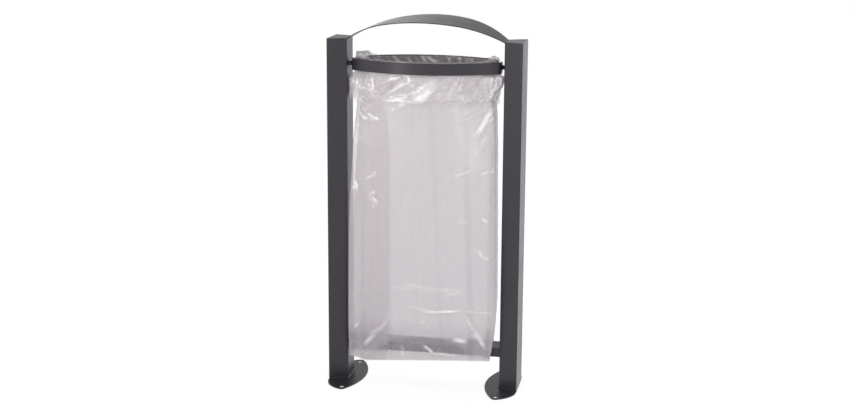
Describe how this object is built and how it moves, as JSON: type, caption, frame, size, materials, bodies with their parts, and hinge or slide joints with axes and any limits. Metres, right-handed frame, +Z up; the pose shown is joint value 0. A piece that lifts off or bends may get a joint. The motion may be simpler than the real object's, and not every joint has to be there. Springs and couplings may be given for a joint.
{
  "type": "waste bag holder",
  "caption": "Free-standing steel holder for a clear waste bag: posts on ground plates, curved roof, lens-shaped bag ring and a swing-up clamp strap.",
  "frame": {"origin": "on the ground, midway between the posts and between the plates' front and back tips", "axes": "+X from the left post to the right post, +Y to the back, +Z up"},
  "size_m": [0.62, 0.2998, 1.1866],
  "materials": {
    "powder_coat": "satin anthracite powder coat",
    "black_steel": "black oxide",
    "black_nylon": "moulded nylon",
    "zinc_steel": "zinc plated",
    "clear_film": "clear polythene film"
  },
  "bodies": {
    "frame": {"left_post": "powder_coat", "left_post_cap": "powder_coat", "left_ground_plate": "powder_coat", "left_pivot_bolt": "black_steel", "left_bolt_washer": "black_steel", "left_ring_bush": "black_nylon", "left_pivot_spacer": "black_nylon", "left_threaded_insert": "zinc_steel", "right_post": "powder_coat", "right_post_cap": "powder_coat", "right_ground_plate": "powder_coat", "right_pivot_bolt": "black_steel", "right_bolt_washer": "black_steel", "right_ring_bush": "black_nylon", "right_pivot_spacer": "black_nylon", "right_threaded_insert": "zinc_steel", "roof_arch": "powder_coat", "lower_crossbar": "powder_coat", "bag_ring": "powder_coat", "bin_bag": "clear_film"},
    "clamp": {"clamp_strap": "powder_coat"}
  },
  "joints": [
    {"name": "strap_hinge", "type": "hinge", "parent": "frame", "child": "clamp", "pos_m": [0, 0, 1.039], "axis": [-1, 0, 0], "range_deg": [0, 180]}
  ]
}
